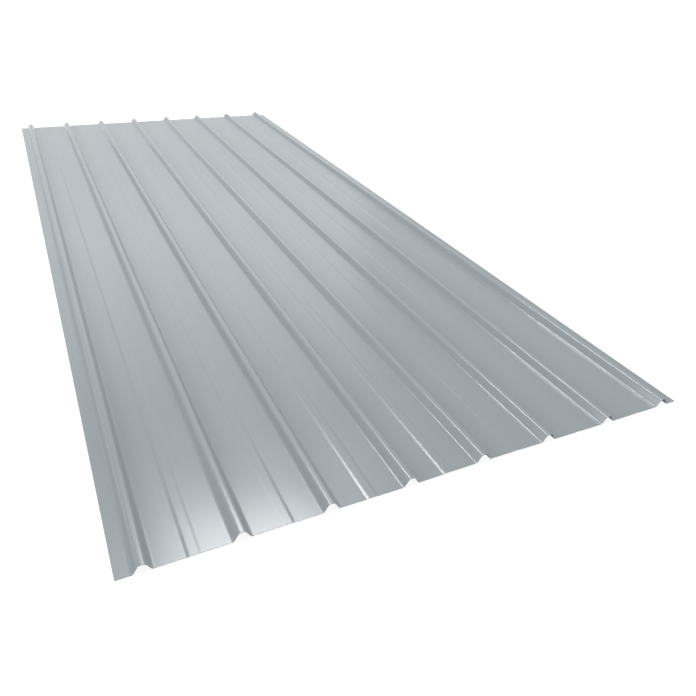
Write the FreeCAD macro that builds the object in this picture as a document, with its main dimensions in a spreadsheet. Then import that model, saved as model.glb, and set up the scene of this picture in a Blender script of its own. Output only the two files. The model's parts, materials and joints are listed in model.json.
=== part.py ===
"""Trapezoidal metal roofing sheet: one roll-formed sheet of thin steel, lying flat.

Eight ribs run the whole length and stand up between flat pans. Every pan has a low
stiffening bead along its middle, and a plain lap flange borders the sheet on both sides.

Frame, in millimetres: X across the ribs, Y along them, Z up. The origin is midway along
and across the sheet, at the level of the undersides of the pans.
"""

import FreeCAD, Part
import math
import os
import Sketcher

NODE = "roofing_sheet"

# Driving dimensions. A "base" is measured between the two points where the level metal
# beside a rib or bead starts to bend, and a shoulder from such a point to the level top.
SIZES = {
    "sheet_length": 2400.0,
    "sheet_thickness": 0.5,
    "pan_count": 7,
    "rib_pitch": 137.5,  # from the middle of one rib to the middle of the next
    "rib_height": 14.0,  # from the underside of a pan to the top of a crown
    "rib_base": 30.5,
    "rib_shoulder": 12.65,
    "bend_radius": 3.75,  # on the inner side of each bend
    "bead_height": 0.55,  # from the top of a pan to the top of its bead
    "bead_base": 21.5,
    "bead_shoulder": 5.0,
    "edge_reach": 36.25,  # from the middle of an outer rib to the edge of the sheet
}

# How a sketch constraint names a point of an edge, and the sketch's own axes and origin.
START = 1
END = 2
CENTRE = 3
HORIZONTAL_AXIS = -1
VERTICAL_AXIS = -2
ORIGIN = (HORIZONTAL_AXIS, START)
UPWARD = math.pi / 2

doc = FreeCAD.newDocument("RoofingSheet")


def make_size_sheet():
    """The spreadsheet of driving dimensions: a name, its value and its alias in each row."""
    sheet = doc.addObject("Spreadsheet::Sheet", "Sizes")
    for row, (alias, value) in enumerate(SIZES.items(), start=1):
        sheet.set(f"A{row}", alias)
        sheet.set(f"B{row}", str(value))
        sheet.setAlias(f"B{row}", alias)
    doc.recompute()
    return sheet


def origin_feature(body, role):
    """The axis or plane of a body's own origin that has this role."""
    return next(f for f in body.Origin.OriginFeatures if f.Role == role)


def section_sketch(body, name, shift):
    """An empty sketch in the plane across the ribs, moved along X by the shift formula."""
    sketch = body.newObject("Sketcher::SketchObject", name)
    sketch.AttachmentSupport = [(origin_feature(body, "XZ_Plane"), "")]
    sketch.MapMode = "FlatFace"
    sketch.setExpression("AttachmentOffset.Base.x", shift)
    doc.recompute()
    return sketch


def flank_slope(run, rise):
    """Angle of the straight flank that is tangent to a foot bend and to a crown bend."""
    radii = 2 * bend_radius + sheet_thickness
    climb = rise - radii
    return math.atan2(climb, run) + math.asin(radii / math.hypot(run, climb))


def step_bends(foot_x, crown_x, rise):
    """The two bends of one step in the metal, from left to right.

    A bend is its centre, its radii on the underside and on the top, and the angles where
    its arcs start and end. A foot bend curves round a centre above the metal, and a crown
    bend round a centre below it.
    """
    slope = flank_slope(abs(crown_x - foot_x), rise)
    climbs = foot_x < crown_x
    outer_radius = bend_radius + sheet_thickness
    foot_angles = (-UPWARD, -UPWARD + slope) if climbs else (-UPWARD - slope, -UPWARD)
    crown_angles = (UPWARD, UPWARD + slope) if climbs else (UPWARD - slope, UPWARD)
    foot = {
        "centre": (foot_x, sheet_thickness + bend_radius),
        "radii": (outer_radius, bend_radius),
        "angles": foot_angles,
        "ends": (START, END),
    }
    crown = {
        "centre": (crown_x, rise - bend_radius),
        "radii": (bend_radius, outer_radius),
        "angles": crown_angles,
        "ends": (END, START),
    }
    return [foot, crown] if climbs else [crown, foot]


def add_line(sketch, start, end):
    """A straight edge of the section, between two points of the sketch."""
    return sketch.addGeometry(Part.LineSegment(FreeCAD.Vector(*start), FreeCAD.Vector(*end)))


def add_surface(sketch, bends, side, left_x, right_x):
    """One face of the metal seen end on: flats and flanks joined smoothly by the bends.

    Side 0 is the underside and side 1 the top. Returns the lines and the arcs, in order.
    """
    arcs = []
    points = []
    for bend in bends:
        middle = FreeCAD.Vector(*bend["centre"])
        circle = Part.Circle(middle, FreeCAD.Vector(0, 0, 1), bend["radii"][side])
        arc = Part.ArcOfCircle(circle, *bend["angles"])
        both_ends = {START: arc.StartPoint, END: arc.EndPoint}
        points += [tuple(both_ends[end]) for end in bend["ends"]]
        arcs.append(sketch.addGeometry(arc))
    points = [(left_x, points[0][1])] + points + [(right_x, points[-1][1])]
    lines = [add_line(sketch, *points[i : i + 2]) for i in range(0, len(points), 2)]
    for index, arc in enumerate(arcs):
        first_end, last_end = bends[index]["ends"]
        sketch.addConstraint(Sketcher.Constraint("Tangent", lines[index], END, arc, first_end))
        sketch.addConstraint(Sketcher.Constraint("Tangent", arc, last_end, lines[index + 1], START))
    sketch.addConstraint(Sketcher.Constraint("Horizontal", lines[0]))
    sketch.addConstraint(Sketcher.Constraint("Horizontal", lines[-1]))
    return lines, arcs


def close_end(sketch, under_line, top_line, end):
    """A short upright edge that joins the underside to the top where the section stops."""
    geometry = sketch.Geometry
    corners = [
        geometry[line].StartPoint if end == START else geometry[line].EndPoint
        for line in (under_line, top_line)
    ]
    cap = add_line(sketch, *corners)
    sketch.addConstraint(Sketcher.Constraint("Coincident", under_line, end, cap, START))
    sketch.addConstraint(Sketcher.Constraint("Coincident", cap, END, top_line, end))
    sketch.addConstraint(Sketcher.Constraint("Vertical", cap))
    return cap


def drive(sketch, kind, elements, value, formula):
    """A dimension of the sketch that a formula on the spreadsheet sets."""
    index = sketch.addConstraint(Sketcher.Constraint(kind, *elements, value))
    sketch.setExpression(f"Constraints[{index}]", formula)


def draw_metal(sketch, bends, left_x, right_x):
    """The closed outline of bent metal of one thickness. Returns the underside and the caps."""
    under_lines, under_arcs = add_surface(sketch, bends, 0, left_x, right_x)
    top_lines, top_arcs = add_surface(sketch, bends, 1, left_x, right_x)
    for under_arc, top_arc, bend in zip(under_arcs, top_arcs, bends):
        sketch.addConstraint(Sketcher.Constraint("Coincident", under_arc, CENTRE, top_arc, CENTRE))
        curves_up = bend["ends"] == (START, END)
        inner, outer = (top_arc, under_arc) if curves_up else (under_arc, top_arc)
        drive(sketch, "Radius", [inner], bend_radius, "Sizes.bend_radius")
        outer_radius = bend_radius + sheet_thickness
        drive(sketch, "Radius", [outer], outer_radius, "Sizes.bend_radius + Sizes.sheet_thickness")
    left_cap = close_end(sketch, under_lines[0], top_lines[0], START)
    right_cap = close_end(sketch, under_lines[-1], top_lines[-1], END)
    return under_lines, under_arcs, left_cap, right_cap


def draw_pan_section(sketch):
    """Half a rib, a pan with its bead, and half the next rib, the same to both sides of Z."""
    foot_x = (rib_pitch - rib_base) / 2
    crown_x = foot_x + rib_shoulder
    bead_foot_x = bead_base / 2
    bead_crest_x = bead_foot_x - bead_shoulder
    bends = (
        step_bends(-foot_x, -crown_x, rib_rise)
        + step_bends(-bead_foot_x, -bead_crest_x, bead_height)
        + step_bends(bead_foot_x, bead_crest_x, bead_height)
        + step_bends(foot_x, crown_x, rib_rise)
    )
    lines, arcs, left_cap, right_cap = draw_metal(sketch, bends, -rib_pitch / 2, rib_pitch / 2)
    half = len(arcs) // 2
    for left_arc, right_arc in zip(arcs[:half], reversed(arcs[half:])):
        sketch.addConstraint(
            Sketcher.Constraint("Symmetric", left_arc, CENTRE, right_arc, CENTRE, VERTICAL_AXIS)
        )
    spans = [
        (2 * crown_x, "Sizes.rib_pitch - Sizes.rib_base + 2 * Sizes.rib_shoulder"),
        (2 * foot_x, "Sizes.rib_pitch - Sizes.rib_base"),
        (2 * bead_foot_x, "Sizes.bead_base"),
        (2 * bead_crest_x, "Sizes.bead_base - 2 * Sizes.bead_shoulder"),
    ]
    for place, (span, formula) in enumerate(spans):
        pair = [arcs[place], CENTRE, arcs[-1 - place], CENTRE]
        drive(sketch, "DistanceX", pair, span, formula)
    crown_line, _, pan_line, _, bead_line = lines[: half + 1]
    rise_formula = "Sizes.rib_height - Sizes.sheet_thickness"
    drive(sketch, "DistanceY", [*ORIGIN, crown_line, START], rib_rise, rise_formula)
    drive(sketch, "DistanceY", [*ORIGIN, bead_line, START], bead_height, "Sizes.bead_height")
    for end in (START, END):
        sketch.addConstraint(
            Sketcher.Constraint("PointOnObject", pan_line, end, HORIZONTAL_AXIS)
        )
    half_pitch = rib_pitch / 2
    drive(sketch, "DistanceX", [left_cap, START, *ORIGIN], half_pitch, "Sizes.rib_pitch / 2")
    drive(sketch, "DistanceX", [*ORIGIN, right_cap, START], half_pitch, "Sizes.rib_pitch / 2")


def draw_edge_section(sketch):
    """The lap flange and the outer half of an outer rib, whose middle is on Z."""
    foot_x = rib_base / 2
    crown_x = foot_x - rib_shoulder
    bends = step_bends(-foot_x, -crown_x, rib_rise)
    lines, arcs, left_cap, right_cap = draw_metal(sketch, bends, -edge_reach, 0)
    foot, crown = arcs
    flange_line, _, crown_line = lines
    crown_formula = "Sizes.rib_base / 2 - Sizes.rib_shoulder"
    drive(sketch, "DistanceX", [foot, CENTRE, *ORIGIN], foot_x, "Sizes.rib_base / 2")
    drive(sketch, "DistanceX", [crown, CENTRE, *ORIGIN], crown_x, crown_formula)
    drive(sketch, "DistanceX", [left_cap, START, *ORIGIN], edge_reach, "Sizes.edge_reach")
    rise_formula = "Sizes.rib_height - Sizes.sheet_thickness"
    drive(sketch, "DistanceY", [*ORIGIN, crown_line, START], rib_rise, rise_formula)
    sketch.addConstraint(
        Sketcher.Constraint("PointOnObject", flange_line, START, HORIZONTAL_AXIS)
    )
    sketch.addConstraint(
        Sketcher.Constraint("PointOnObject", right_cap, START, VERTICAL_AXIS)
    )


def pad_along_sheet(body, sketch, name):
    """The section carried along the whole sheet, as far to the front as to the back."""
    pad = body.newObject("PartDesign::Pad", name)
    pad.Profile = sketch
    pad.SideType = "Symmetric"
    pad.setExpression("Length", "Sizes.sheet_length")
    doc.recompute()
    return pad


def check_document():
    """Stop if any object of the document failed, or if the body isn't one sound solid."""
    for item in doc.Objects:
        if {"Invalid", "Error"} & set(item.State):
            raise RuntimeError(f"{item.Label} failed: {item.State}")
        if item.TypeId == "Sketcher::SketchObject" and not item.FullyConstrained:
            raise RuntimeError(f"{item.Label} isn't fully constrained")
    if body.Shape.isNull() or not body.Shape.isValid() or len(body.Shape.Solids) != 1:
        raise RuntimeError(f"{body.Label} isn't one valid solid")


size_sheet = make_size_sheet()
rib_pitch = size_sheet.rib_pitch
rib_base = size_sheet.rib_base
rib_shoulder = size_sheet.rib_shoulder
bend_radius = size_sheet.bend_radius
bead_height = size_sheet.bead_height
bead_base = size_sheet.bead_base
bead_shoulder = size_sheet.bead_shoulder
edge_reach = size_sheet.edge_reach
sheet_thickness = size_sheet.sheet_thickness
rib_rise = size_sheet.rib_height - sheet_thickness

body = doc.addObject("PartDesign::Body", "RoofingSheetBody")
body.Label = NODE

# The first pan from the left, then a row of like pans, each sharing a rib with the next.
pan_sketch = section_sketch(body, "PanSection", "-(Sizes.pan_count - 1) / 2 * Sizes.rib_pitch")
draw_pan_section(pan_sketch)
pan_pad = pad_along_sheet(body, pan_sketch, "FirstPan")
pan_row = body.newObject("PartDesign::LinearPattern", "PanRow")
pan_row.Originals = [pan_pad]
pan_row.Direction = (origin_feature(body, "X_Axis"), [""])
pan_row.Mode = "Spacing"
pan_row.setExpression("Offset", "Sizes.rib_pitch")
pan_row.setExpression("Occurrences", "Sizes.pan_count")
body.Tip = pan_row
doc.recompute()

# The left edge finishes the first rib, and its mirror image finishes the last.
edge_sketch = section_sketch(body, "EdgeSection", "-Sizes.pan_count / 2 * Sizes.rib_pitch")
draw_edge_section(edge_sketch)
edge_pad = pad_along_sheet(body, edge_sketch, "LeftEdge")
edge_mirror = body.newObject("PartDesign::Mirrored", "RightEdge")
edge_mirror.Originals = [edge_pad]
edge_mirror.MirrorPlane = (origin_feature(body, "YZ_Plane"), [""])
body.Tip = edge_mirror
doc.recompute()

check_document()
os.makedirs("parts", exist_ok=True)
body.Shape.exportStep(f"parts/{NODE}.step")

bounds = body.Shape.BoundBox
print(f"{NODE}: {bounds.XLength:.2f} x {bounds.YLength:.2f} x {bounds.ZLength:.2f} mm")
print(f"faces {len(body.Shape.Faces)}, volume {body.Shape.Volume:.0f} mm3")
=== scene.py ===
# %% [markdown]
# # A pre-painted steel roofing sheet
# The real object is one strip of thin steel, painted on a coil and then pressed between rollers
# into ribs, flat pans and low stiffening beads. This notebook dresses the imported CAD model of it.
# The model is loaded first, because the sizes and places below are worked out from it.

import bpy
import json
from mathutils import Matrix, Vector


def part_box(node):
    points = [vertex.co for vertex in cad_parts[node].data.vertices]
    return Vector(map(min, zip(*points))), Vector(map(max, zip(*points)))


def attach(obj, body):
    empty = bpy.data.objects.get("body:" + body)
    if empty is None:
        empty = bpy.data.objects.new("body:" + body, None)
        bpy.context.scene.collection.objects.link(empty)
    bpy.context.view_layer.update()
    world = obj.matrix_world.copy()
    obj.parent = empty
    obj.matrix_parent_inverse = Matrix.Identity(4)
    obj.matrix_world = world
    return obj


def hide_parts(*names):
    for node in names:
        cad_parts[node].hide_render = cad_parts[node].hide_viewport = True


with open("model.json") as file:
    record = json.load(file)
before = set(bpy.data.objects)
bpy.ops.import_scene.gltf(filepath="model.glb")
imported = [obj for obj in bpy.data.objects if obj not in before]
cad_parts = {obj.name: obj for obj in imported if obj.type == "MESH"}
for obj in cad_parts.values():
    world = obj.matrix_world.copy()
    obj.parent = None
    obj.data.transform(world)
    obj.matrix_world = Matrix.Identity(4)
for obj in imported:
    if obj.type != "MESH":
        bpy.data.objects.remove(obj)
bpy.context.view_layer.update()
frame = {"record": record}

# %% Modules for the shapes and the scene
import json
import math

import bpy
import numpy as np
from mathutils import Matrix, Vector

# %% [markdown]
# ## Sizes
# The overall size comes from the box of the CAD sheet. The ribs' spacing, the crown's height and
# the metal's thickness come from its mounts: the two laps are on the first and the last rib, and a
# roofing screw seats on the top of a pan. Only the section of a rib and of a bead is named here
# again. The base is its whole width, from the start of one foot bend to the start of the other. The
# shoulder is the width of one side, up to the level crown, and the rise is its height over the pans.

# %% Sizes of the section, in metres
MM = 0.001
NODE = "roofing_sheet"
sheet_low, sheet_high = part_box(NODE)
mounts = {mount["name"]: mount["pos_m"] for mount in frame["record"]["mounts"]}
openings = frame["record"]["physics"]["openings"]
thickness = mounts["screw_seat"][2]
crown_height = mounts["lap_top"][2]
first_rib_x = mounts["lap_underside"][0]
last_rib_x = mounts["lap_top"][0]
pan_count = sum(opening["name"].startswith("pan_") for opening in openings)
rib_pitch = (last_rib_x - first_rib_x) / pan_count
front_y = sheet_low.y
back_y = sheet_high.y

RIB = {"base": 30.5 * MM, "shoulder": 12.65 * MM, "rise": crown_height - thickness}
BEAD = {"base": 21.5 * MM, "shoulder": 5.0 * MM, "rise": 0.55 * MM}
bend_radius = 3.75 * MM + thickness / 2  # at the middle of the metal

print(f"{pan_count} pans, ribs every {rib_pitch / MM:.2f} mm, metal {thickness / MM:.2f} mm thick")

# %% [markdown]
# ## The section
# Seen from its end, the sheet is one line of metal. A rib or a bead is a step up and the same step
# down, and a step is two bends with a straight slope between them. Sprung metal has no sudden start
# to a bend, so each one starts and ends more gently than a plain arc, between the same two straight
# lines. A curve with a bevel could draw it, but a formula for the steepness of the metal also gives
# the direction that is needed to give it a thickness.


# %% One bend
EASED_LENGTH = 1.5  # an eased bend is this many times as long as the plain arc it stands for
FINE_STEPS = 8  # steps of the sum between two points that are kept


def eased_bend(steepest, bend_points):
    """How far along and up a bend goes from its level end, and how steep it is, at each point.

    At a share u of its length the steepness is steepest * (3 u squared - 2 u cubed). Along and up
    are the sums of the cosine and the sine of the steepness over the length.
    """
    share = np.linspace(0, 1, (bend_points - 1) * FINE_STEPS + 1)
    steepness = steepest * share**2 * (3 - 2 * share)
    step = EASED_LENGTH * bend_radius * steepest / (share.size - 1)
    middle = (steepness[1:] + steepness[:-1]) / 2
    along = np.concatenate([[0], np.cumsum(np.cos(middle))]) * step
    up = np.concatenate([[0], np.cumsum(np.sin(middle))]) * step
    return along[::FINE_STEPS], up[::FINE_STEPS], steepness[::FINE_STEPS]


# %% Half of a rib or bead
def half_step(shape, bend_points):
    """Distance from the middle, height above the pan and steepness of half a rib or bead.

    The steepness of the straight slope is atan(climb / run) + asin(2 radii / hypot(run, climb)),
    where run is the shoulder and climb is the rise less two radii. A plain arc starts radius *
    tan(steepest / 2) from the corner where its two straight lines would meet, and an eased bend
    starts up / sin(steepest) from the same corner.
    """
    run = shape["shoulder"]
    climb = shape["rise"] - 2 * bend_radius
    steepest = math.atan2(climb, run) + math.asin(2 * bend_radius / math.hypot(run, climb))
    along, up, steepness = eased_bend(steepest, bend_points)
    earlier = up[-1] / math.sin(steepest) - bend_radius * math.tan(steepest / 2)
    foot_start = shape["base"] / 2 + earlier
    crown_start = shape["base"] / 2 - run - earlier
    distance = np.concatenate([crown_start + along, (foot_start - along)[::-1]])
    height = np.concatenate([shape["rise"] - up, up[::-1]])
    return distance, height, np.concatenate([steepness, steepness[::-1]])


def whole_step(shape, middle_x, bend_points):
    """A rib or bead from left to right: the half step mirrored, and then the half step."""
    distance, height, steepness = half_step(shape, bend_points)
    x = np.concatenate([middle_x - distance[::-1], middle_x + distance])
    z = np.concatenate([height[::-1], height])
    tilt = np.concatenate([steepness[::-1], -steepness])
    return np.stack([x, z, tilt])


# %% Level metal between the steps
RIB_BEND_POINTS = 12
BEAD_BEND_POINTS = 4
FLAT_POINTS = 7
FLAT_MARGIN = 0.8 * MM  # a flat's end points lie this near the bends, so its shading stays level


def flat_run(left_x, right_x):
    """Evenly spread points at pan level, from just after left_x to just before right_x."""
    x = np.linspace(left_x + FLAT_MARGIN, right_x - FLAT_MARGIN, FLAT_POINTS)
    return np.stack([x, np.zeros_like(x), np.zeros_like(x)])


def edge_point(x):
    """The single point of the line at a side edge of the sheet."""
    return np.array([[x], [0.0], [0.0]])


# %% The whole line of metal, from the left edge to the right
steps = [whole_step(RIB, first_rib_x, RIB_BEND_POINTS)]
for pan in range(pan_count):
    left_rib_x = first_rib_x + pan * rib_pitch
    steps.append(whole_step(BEAD, left_rib_x + rib_pitch / 2, BEAD_BEND_POINTS))
    steps.append(whole_step(RIB, left_rib_x + rib_pitch, RIB_BEND_POINTS))

runs = [edge_point(sheet_low.x), flat_run(sheet_low.x, steps[0][0, 0]), steps[0]]
for before, after in zip(steps, steps[1:]):
    runs += [flat_run(before[0, -1], after[0, 0]), after]
runs += [flat_run(steps[-1][0, -1], sheet_high.x), edge_point(sheet_high.x)]
line_x, line_z, line_tilt = np.concatenate(runs, axis=1)
line_z = line_z + thickness / 2

print(f"{line_x.size} points across, always to the right: {bool(np.all(np.diff(line_x) > 0))}")
print(f"crown at {(line_z.max() + thickness / 2) / MM:.2f} mm")

# %% [markdown]
# ## Lift
# Thin metal never lies dead flat. The near end of the sheet is sprung up a little in three places,
# and the pans are very slightly uneven all along. A displacement texture could do it, but a few
# smooth humps and long waves are what such metal does, and they keep the metal one thickness.

# %% How far each place is lifted
HUMPS = (  # the middle as rib spacings from the first rib, the half-width and the height
    {"middle": 1.55, "half_width": 0.95 * rib_pitch, "height": 2.2 * MM},
    {"middle": 4.05, "half_width": 1.05 * rib_pitch, "height": 3.5 * MM},
    {"middle": 5.30, "half_width": 1.10 * rib_pitch, "height": 0.8 * MM},
)
FADE = 320 * MM  # how far a hump reaches along the sheet
WAVE_LENGTH = 610 * MM
WAVE_HEIGHT = 0.12 * MM  # the most that the waves reach together
WAVES = (  # how fast each wave turns along and across the sheet, and the angle it starts from
    {"along": 1.0, "across": 0.9, "start": 0.0},
    {"along": 0.63, "across": -1.3, "start": 1.1},
)


def lift(x, y):
    """Height added at a place: humps that fade away from the near end, and long crossing waves.

    A hump is height * exp(-(distance across / half-width) squared), and fades along the sheet by
    exp(-(distance from the end / fade) squared). A wave is 1 + cos(angle), so it stays above 0,
    where the angle is its start plus a full turn for each wave length gone along and across.
    """
    near_end = np.exp(-(((y - front_y) / FADE) ** 2))
    raised = np.zeros(np.broadcast(x, y).shape)
    for hump in HUMPS:
        across = (x - first_rib_x - hump["middle"] * rib_pitch) / hump["half_width"]
        raised = raised + hump["height"] * np.exp(-(across**2)) * near_end
    for wave in WAVES:
        turns = (wave["along"] * y + wave["across"] * x) / WAVE_LENGTH
        shape = 1 + np.cos(2 * np.pi * turns + wave["start"])
        raised = raised + WAVE_HEIGHT / (2 * len(WAVES)) * shape
    return raised


# %% [markdown]
# ## The sheet
# The line is carried along the sheet, once for the painted top and once for the underside, each
# half a thickness from the line along its normal. Strips of bare steel close the four cut edges,
# so the mesh is one closed shell. A Solidify modifier could make the wall from one skin, but the
# line's own direction is known here, so the thickness is true at every bend.

# %% Points of the two skins
EVEN_STATIONS = 61
END_MARGIN = 0.6 * MM  # the stations nearest the ends lie this far in, so shading stays level there
even_y = np.linspace(front_y + END_MARGIN, back_y - END_MARGIN, EVEN_STATIONS)
line_y = np.concatenate([[front_y], even_y, [back_y]])
raised = lift(line_x[None, :], line_y[:, None])


def skin(side):
    """The points of one skin: the line plus side * half the thickness along the line's normal."""
    offset = side * thickness / 2
    skin_points = np.empty((line_y.size, line_x.size, 3))
    skin_points[..., 0] = line_x - offset * np.sin(line_tilt)
    skin_points[..., 1] = line_y[:, None]
    skin_points[..., 2] = line_z + offset * np.cos(line_tilt) + raised
    return skin_points.reshape(-1, 3)


points = np.concatenate([skin(1), skin(-1)])
top, under = np.arange(len(points)).reshape(2, line_y.size, line_x.size)
print(f"{len(points)} points, highest lift {raised.max() / MM:.2f} mm")


# %% Faces, wound so that they point outwards
def quads(*corners):
    """Four-sided faces from four equal arrays of point numbers, one for each corner."""
    return np.stack(corners, axis=-1).reshape(-1, 4)


top_faces = quads(top[:-1, :-1], top[:-1, 1:], top[1:, 1:], top[1:, :-1])
under_faces = quads(under[:-1, :-1], under[1:, :-1], under[1:, 1:], under[:-1, 1:])
cut_faces = np.concatenate(
    [
        quads(under[0, :-1], under[0, 1:], top[0, 1:], top[0, :-1]),
        quads(top[-1, :-1], top[-1, 1:], under[-1, 1:], under[-1, :-1]),
        quads(top[:-1, 0], top[1:, 0], under[1:, 0], under[:-1, 0]),
        quads(under[:-1, -1], under[1:, -1], top[1:, -1], top[:-1, -1]),
    ]
)
faces = np.concatenate([top_faces, under_faces, cut_faces])
print(f"{2 * len(faces)} triangles, {2 * len(cut_faces)} of them on the cut edges")

# %% The mesh
TOP_PAINT, BACK_COAT, CUT_STEEL = range(3)
FIRST_BEND = math.radians(8)  # a little steeper than a bead, which the rollers hardly press
FULL_BEND = math.radians(20)  # metal this steep has passed right under the rollers
face_finish = np.repeat(
    [TOP_PAINT, BACK_COAT, CUT_STEEL], [len(top_faces), len(under_faces), len(cut_faces)]
)
sheet_mesh = bpy.data.meshes.new("painted_roofing_sheet")
sheet_mesh.from_pydata(points, [], faces)
sheet_mesh.polygons.foreach_set("material_index", face_finish.astype(np.int32))
sheet_mesh.polygons.foreach_set("use_smooth", face_finish != CUT_STEEL)
pressed = np.clip((np.abs(line_tilt) - FIRST_BEND) / (FULL_BEND - FIRST_BEND), 0, 1)
bend_amount = np.tile(pressed, 2 * line_y.size)
bend_attribute = sheet_mesh.attributes.new("bend_amount", "FLOAT", "POINT")
bend_attribute.data.foreach_set("value", bend_amount.astype(np.float32))
sheet_mesh.update()

painted_sheet = bpy.data.objects.new("painted_roofing_sheet", sheet_mesh)
bpy.context.scene.collection.objects.link(painted_sheet)
print(f"mesh problems found and mended: {sheet_mesh.validate()}")

# %% Sharp edges, where the shear cut the sheet
on_border = np.zeros(len(points), bool)
on_border[cut_faces.ravel()] = True
edge_ends = np.empty(2 * len(sheet_mesh.edges), np.int32)
sheet_mesh.edges.foreach_get("vertices", edge_ends)
cut_edge = on_border[edge_ends.reshape(-1, 2)].all(axis=1)
sharp_attribute = sheet_mesh.attributes.new("sharp_edge", "BOOLEAN", "EDGE")
sharp_attribute.data.foreach_set("value", cut_edge)
print(f"{cut_edge.sum()} sharp edges of {cut_edge.size}")

# %% [markdown]
# ## Colours and nodes
# Colours are written as the eye sees them, in sRGB, and one function turns them into the linear
# light that the shader needs. One small function adds a node with its settings and its links.


# %% Helpers for materials
def linear(hex_colour):
    """An sRGB hex colour in linear light.

    A part above 0.04045 becomes ((part + 0.055) / 1.055) to the power 2.4, and a lower part is
    divided by 12.92.
    """
    parts = np.array([int(hex_colour[i : i + 2], 16) for i in (1, 3, 5)]) / 255
    light = np.where(parts <= 0.04045, parts / 12.92, ((parts + 0.055) / 1.055) ** 2.4)
    return (*light.tolist(), 1.0)


def add_node(tree, kind, settings=None, sockets=None):
    """Adds a node. Each named or numbered socket is given a value, or the output that feeds it."""
    node = tree.nodes.new(kind)
    for name, value in (settings or {}).items():
        setattr(node, name, value)
    for name, value in (sockets or {}).items():
        if isinstance(value, bpy.types.NodeSocket):
            tree.links.new(value, node.inputs[name])
        else:
            node.inputs[name].default_value = value
    return node


def new_tree(name):
    """An empty node material, and its tree of nodes."""
    material = bpy.data.materials.new(name)
    material.use_nodes = True
    material.node_tree.nodes.clear()
    return material, material.node_tree


# %% Helpers for patterns
NOISE_DETAIL = 2.0
NOISE_LOW, NOISE_HIGH = 0.3, 0.7  # most of a noise pattern lies between these


def noise(tree, place, size):
    """Cloudy noise from 0 to 1, with features of this size in metres across, along and up."""
    scale = [1 / part for part in size]
    stretched = add_node(tree, "ShaderNodeMapping", sockets={"Vector": place, "Scale": scale})
    sockets = {"Vector": stretched.outputs["Vector"], "Scale": 1.0, "Detail": NOISE_DETAIL}
    return add_node(tree, "ShaderNodeTexNoise", sockets=sockets).outputs["Fac"]


def spread(tree, pattern, low, high):
    """A pattern's usual range spread over low to high."""
    sockets = {
        "Value": pattern,
        "From Min": NOISE_LOW,
        "From Max": NOISE_HIGH,
        "To Min": low,
        "To Max": high,
    }
    return add_node(tree, "ShaderNodeMapRange", sockets=sockets).outputs["Result"]


def two_tones(tree, pattern, dark, light):
    """A colour that goes from dark to light with the pattern."""
    ramp = add_node(tree, "ShaderNodeValToRGB", sockets={"Fac": pattern})
    first, last = ramp.color_ramp.elements
    first.position, last.position = NOISE_LOW, NOISE_HIGH
    first.color, last.color = linear(dark), linear(light)
    return ramp.outputs["Color"]


# %% [markdown]
# ## Coil-coated steel: the painted top
# The colour is a polyester paint, rolled onto the strip before it is formed and then baked. It
# dries to an even, half-gloss film with a very fine orange-peel. Rolling leaves faint long streaks,
# and the forming rollers press the film a little smoother at the bends. A metallic shader would be
# wrong: the metal is wholly covered, so highlights are white and the colour is the pigment's.

# %% Coil-coated polyester paint
PAINT_DARK = "#8F989C"
PAINT_LIGHT = "#91999E"
PAINT_ROUGHNESS = 0.22
ROUGHNESS_VARIES = 0.02
SMOOTHER_AT_BENDS = -0.08  # added to the roughness where the metal is fully bent
PAINT_IOR = 1.5
STREAK = (9 * MM, 700 * MM, 9 * MM)  # across, along and up
PATCH = (260 * MM, 260 * MM, 260 * MM)
# Real orange-peel is 1 to 2 mm across and a few microns high. It is drawn wider so that it shows,
# and higher in proportion, so that its slopes stay as gentle as they are.
PEEL = (7 * MM, 7 * MM, 7 * MM)
PEEL_HEIGHT = 0.012 * MM


def coil_coated_paint():
    """Polyester paint: pigment with faint streaks, half-gloss, with a fine orange-peel."""
    material, tree = new_tree("coil_coated_polyester_paint")
    place = add_node(tree, "ShaderNodeTexCoord").outputs["Object"]
    bend = add_node(tree, "ShaderNodeAttribute", {"attribute_name": "bend_amount"}).outputs["Fac"]
    tone = two_tones(tree, noise(tree, place, STREAK), PAINT_DARK, PAINT_LIGHT)
    flat_roughness = spread(
        tree,
        noise(tree, place, PATCH),
        PAINT_ROUGHNESS - ROUGHNESS_VARIES,
        PAINT_ROUGHNESS + ROUGHNESS_VARIES,
    )
    roughness = add_node(
        tree,
        "ShaderNodeMath",
        {"operation": "MULTIPLY_ADD"},
        {0: bend, 1: SMOOTHER_AT_BENDS, 2: flat_roughness},
    ).outputs["Value"]
    peel = noise(tree, place, PEEL)
    bump = add_node(
        tree, "ShaderNodeBump", sockets={"Strength": 1.0, "Distance": PEEL_HEIGHT, "Height": peel}
    )
    paint = add_node(
        tree,
        "ShaderNodeBsdfPrincipled",
        sockets={
            "Base Color": tone,
            "Roughness": roughness,
            "IOR": PAINT_IOR,
            "Normal": bump.outputs["Normal"],
        },
    )
    add_node(tree, "ShaderNodeOutputMaterial", sockets={"Surface": paint.outputs["BSDF"]})
    return material


# %% [markdown]
# ## Backing coat: the underside
# The side that faces the roof space gets a thinner, cheaper primer coat, nearly matt. Its dark grey is
# painted shade: it is darker than such a coat usually is, for the unlit underside seen under the ribs.
# It varies a little where the coat is thin, which soft noise in colour and roughness gives.

# %% Roller-coated backing primer, its colour darkened as painted shade
# painted shade: the primer's dark grey stands in for the unlit underside seen under the ribs
PRIMER_AND_SHADE_DARK = "#545857"
PRIMER_AND_SHADE_LIGHT = "#5E6261"
BACKING_ROUGHNESS = (0.5, 0.6)
BACKING_PATCH = (60 * MM, 400 * MM, 60 * MM)


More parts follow.
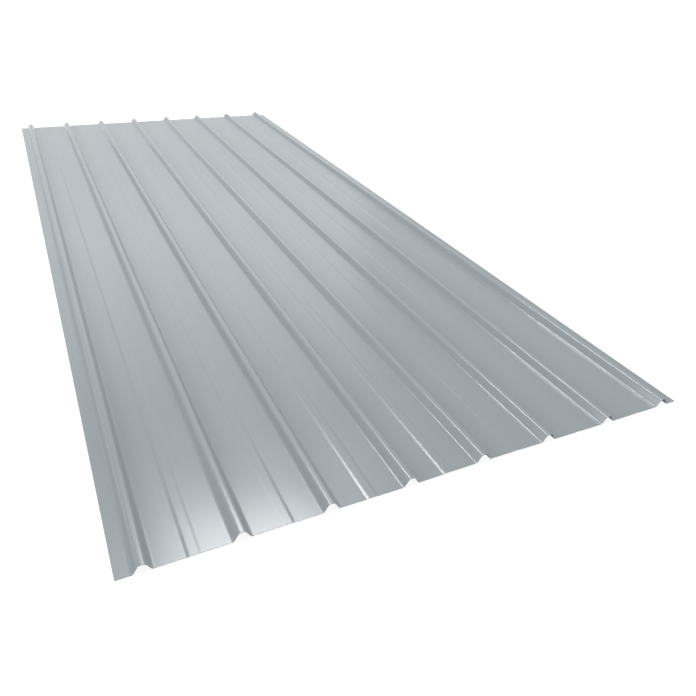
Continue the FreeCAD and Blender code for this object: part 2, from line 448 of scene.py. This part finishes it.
def underside_primer_and_painted_shade():
    """Backing primer painted dark grey as shade for the unlit underside: nearly matt, with faint thin
    patches.
    """
    material, tree = new_tree("roller_coated_backing_primer")
    place = add_node(tree, "ShaderNodeTexCoord").outputs["Object"]
    patches = noise(tree, place, BACKING_PATCH)
    primer = add_node(
        tree,
        "ShaderNodeBsdfPrincipled",
        sockets={
            "Base Color": two_tones(tree, patches, PRIMER_AND_SHADE_DARK, PRIMER_AND_SHADE_LIGHT),
            "Roughness": spread(tree, patches, *BACKING_ROUGHNESS),
            "IOR": PAINT_IOR,
        },
    )
    add_node(tree, "ShaderNodeOutputMaterial", sockets={"Surface": primer.outputs["BSDF"]})
    return material


# %% [markdown]
# ## Sheared steel: the cut edges
# The strip is sheared to length and width, so its edges are bare zinc-coated steel. A shear leaves
# a burnished band and a torn band, seen as short marks along the edge. It is a true metal.

# %% Sheared zinc-coated steel
CUT_DARK = "#3A3E40"
CUT_LIGHT = "#66696B"
CUT_ROUGHNESS = (0.35, 0.5)
SHEAR_MARK = (2 * MM, 2 * MM, 0.3 * MM)


def sheared_steel():
    """Bare sheared steel: dull metal with short marks from the shear blade."""
    material, tree = new_tree("sheared_galvanised_steel")
    place = add_node(tree, "ShaderNodeTexCoord").outputs["Object"]
    marks = noise(tree, place, SHEAR_MARK)
    steel = add_node(
        tree,
        "ShaderNodeBsdfPrincipled",
        sockets={
            "Base Color": two_tones(tree, marks, CUT_DARK, CUT_LIGHT),
            "Metallic": 1.0,
            "Roughness": spread(tree, marks, *CUT_ROUGHNESS),
        },
    )
    add_node(tree, "ShaderNodeOutputMaterial", sockets={"Surface": steel.outputs["BSDF"]})
    return material


# %% The finishes go on the sheet, in the order of their face numbers
for finish in (coil_coated_paint(), underside_primer_and_painted_shade(), sheared_steel()):
    sheet_mesh.materials.append(finish)

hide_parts(NODE)
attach(painted_sheet, "root")
print("finishes:", [material.name for material in sheet_mesh.materials])

# %% [markdown]
# ## Floor and surroundings
# A product like this stands in a white studio. To the camera, and in reflections, the floor and the
# world are white, but the light they give the sheet is lower, so that colours come out as written.
# The floor is part plain diffuse paint and part glow, which keeps a soft shadow under the sheet.


# %% What the camera and reflections see
def seen_directly(tree):
    """1 for camera, glossy and transmission rays, and 0 for light that falls on a surface."""
    path = add_node(tree, "ShaderNodeLightPath").outputs
    first_two = add_node(
        tree,
        "ShaderNodeMath",
        {"operation": "MAXIMUM"},
        {0: path["Is Camera Ray"], 1: path["Is Glossy Ray"]},
    )
    return add_node(
        tree,
        "ShaderNodeMath",
        {"operation": "MAXIMUM"},
        {0: first_two.outputs["Value"], 1: path["Is Transmission Ray"]},
    ).outputs["Value"]


# %% The floor
FLOOR_COLOUR = "#F3F3F3"
FLOOR_SHADE = 0.25  # the share of plain diffuse paint, which takes the shadow
FLOOR_GLOW = 1.2  # the strength of the rest, where the floor is seen directly
FLOOR_GAP = 0.2 * MM
FLOOR_HALF_SIZE = 30.0


def studio_floor():
    """A large level square, just under the sheet."""
    signs = np.array([[-1, -1], [1, -1], [1, 1], [-1, 1]])
    corners = np.column_stack([signs * FLOOR_HALF_SIZE, np.full(4, -FLOOR_GAP)])
    mesh = bpy.data.meshes.new("studio_floor")
    mesh.from_pydata(corners, [], [(0, 1, 2, 3)])
    material, tree = new_tree("matt_white_studio_floor")
    diffuse = add_node(tree, "ShaderNodeBsdfDiffuse", sockets={"Color": linear(FLOOR_COLOUR)})
    glow = add_node(tree, "ShaderNodeEmission", sockets={"Strength": FLOOR_GLOW})
    direct = seen_directly(tree)
    glow_share = add_node(
        tree, "ShaderNodeMath", {"operation": "MULTIPLY"}, {0: direct, 1: 1 - FLOOR_SHADE}
    )
    mixed = add_node(
        tree,
        "ShaderNodeMixShader",
        sockets={0: glow_share.outputs["Value"], 1: diffuse.outputs["BSDF"], 2: glow.outputs["Emission"]},
    )
    add_node(tree, "ShaderNodeOutputMaterial", sockets={"Surface": mixed.outputs["Shader"]})
    mesh.materials.append(material)
    floor = bpy.data.objects.new("studio_floor", mesh)
    bpy.context.scene.collection.objects.link(floor)
    return floor


studio_floor()
print(f"floor {2 * FLOOR_HALF_SIZE:.0f} m wide, {FLOOR_GAP / MM:.1f} mm below the sheet")

# %% The world
WORLD_EVEN = 0.105  # the light from every direction
WORLD_LEFT = 1.05  # what the left side adds to it, and the right side
WORLD_RIGHT = 0.90
WORLD_SEEN = 1.0  # the strength at which the world is seen as white


def side_light(tree):
    """An even light, plus more from both sides: left or right times how far a ray leans there.

    With the lean along X from -1 to 1, the two sides together are half their sum times the lean's
    size, plus half their difference times the lean itself.
    """
    towards = add_node(tree, "ShaderNodeTexCoord").outputs["Generated"]
    lean = add_node(tree, "ShaderNodeSeparateXYZ", sockets={"Vector": towards}).outputs["X"]
    size = add_node(tree, "ShaderNodeMath", {"operation": "ABSOLUTE"}, {0: lean}).outputs["Value"]
    uneven = add_node(
        tree,
        "ShaderNodeMath",
        {"operation": "MULTIPLY_ADD"},
        {0: lean, 1: (WORLD_RIGHT - WORLD_LEFT) / 2, 2: WORLD_EVEN},
    ).outputs["Value"]
    return add_node(
        tree,
        "ShaderNodeMath",
        {"operation": "MULTIPLY_ADD"},
        {0: size, 1: (WORLD_RIGHT + WORLD_LEFT) / 2, 2: uneven},
    ).outputs["Value"]


def studio_world():
    """White where it is seen, and a softer light from both sides on every surface."""
    world = bpy.data.worlds.new("white_studio")
    world.use_nodes = True
    tree = world.node_tree
    tree.nodes.clear()
    lights = add_node(tree, "ShaderNodeBackground", sockets={"Strength": side_light(tree)})
    seen = add_node(tree, "ShaderNodeBackground", sockets={"Strength": WORLD_SEEN})
    for background in (lights, seen):
        background.inputs["Color"].default_value = linear("#FFFFFF")
    mixed = add_node(
        tree,
        "ShaderNodeMixShader",
        sockets={0: seen_directly(tree), 1: lights.outputs["Background"], 2: seen.outputs["Background"]},
    )
    add_node(tree, "ShaderNodeOutputWorld", sockets={"Surface": mixed.outputs["Shader"]})
    return world


bpy.context.scene.world = studio_world()
bpy.context.scene.view_settings.view_transform = "Standard"
print(f"world light {WORLD_EVEN}, with up to {WORLD_LEFT} more on the left, {WORLD_RIGHT} on the right")

# %% [markdown]
# ## Lamps
# Three softboxes light the sheet. A lamp is placed by the direction in which the sheet's near end
# sees it, since a glossy film shows the lamp that lies in the mirrored direction. Its power is
# brightness * area * pi, which keeps its brightness when its size changes.


# %% Softboxes
def direction(azimuth, elevation):
    """The unit vector at this angle from +Y towards +X, and this angle above level, in degrees."""
    turn, height = math.radians(azimuth), math.radians(elevation)
    level = math.cos(height)
    return Vector((math.sin(turn) * level, math.cos(turn) * level, math.sin(height)))


def softbox(name, aim, azimuth, elevation, distance, angles, brightness):
    """A rectangular lamp that faces aim and spans these angles, across and up, in degrees."""
    width, height = (2 * distance * math.tan(math.radians(angle) / 2) for angle in angles)
    lamp = bpy.data.lights.new(name, "AREA")
    lamp.shape = "RECTANGLE"
    lamp.size, lamp.size_y = width, height
    lamp.energy = brightness * width * height * math.pi
    towards = direction(azimuth, elevation)
    turned = (-towards).to_track_quat("-Z", "Y").to_matrix().to_4x4()
    lamp_object = bpy.data.objects.new(name, lamp)
    lamp_object.matrix_world = Matrix.Translation(aim + distance * towards) @ turned
    bpy.context.scene.collection.objects.link(lamp_object)
    print(f"{name}: {width:.2f} x {height:.2f} m, {lamp.energy:.0f} W")


near_end = Vector((0, front_y, 0))
softbox(
    "key_softbox",
    near_end,
    azimuth=13.5,
    elevation=57.0,
    distance=9.0,
    angles=(16.0, 18.0),
    brightness=18.0,
)
softbox(
    "back_softbox",
    near_end,
    azimuth=12.0,
    elevation=25.0,
    distance=12.0,
    angles=(28.0, 16.0),
    brightness=0.85,
)
softbox(
    "left_softbox",
    near_end,
    azimuth=-82.0,
    elevation=21.0,
    distance=9.0,
    angles=(46.0, 17.0),
    brightness=3.0,
)

# %% [markdown]
# ## Camera
# The camera stands in front of the sheet's near left corner, higher than it is far, and looks down
# along it. It is placed from the first rib and the near edge, and turned by three angles, which is
# easier to adjust than a matrix: yaw to the right of the ribs, pitch below level and a small roll.

# %% Camera
FOCAL_LENGTH = 33.33  # the camera's own two sizes are in millimetres
SENSOR_WIDTH = 36.0
LEFT_OF_FIRST_RIB = 27 * MM
BEFORE_NEAR_EDGE = 609 * MM
CAMERA_HEIGHT = 721 * MM
YAW, PITCH, ROLL = 27.25, 32.40, 3.23  # in degrees

camera_data = bpy.data.cameras.new("camera")
camera_data.lens = FOCAL_LENGTH
camera_data.sensor_width = SENSOR_WIDTH
camera = bpy.data.objects.new("camera", camera_data)
place = Vector((first_rib_x - LEFT_OF_FIRST_RIB, front_y - BEFORE_NEAR_EDGE, CAMERA_HEIGHT))
turned = (
    Matrix.Rotation(math.radians(-YAW), 4, "Z")
    @ Matrix.Rotation(math.radians(90 - PITCH), 4, "X")
    @ Matrix.Rotation(math.radians(ROLL), 4, "Z")
)
camera.matrix_world = Matrix.Translation(place) @ turned
bpy.context.scene.collection.objects.link(camera)
bpy.context.scene.camera = camera
print("camera at", [round(part, 3) for part in place])
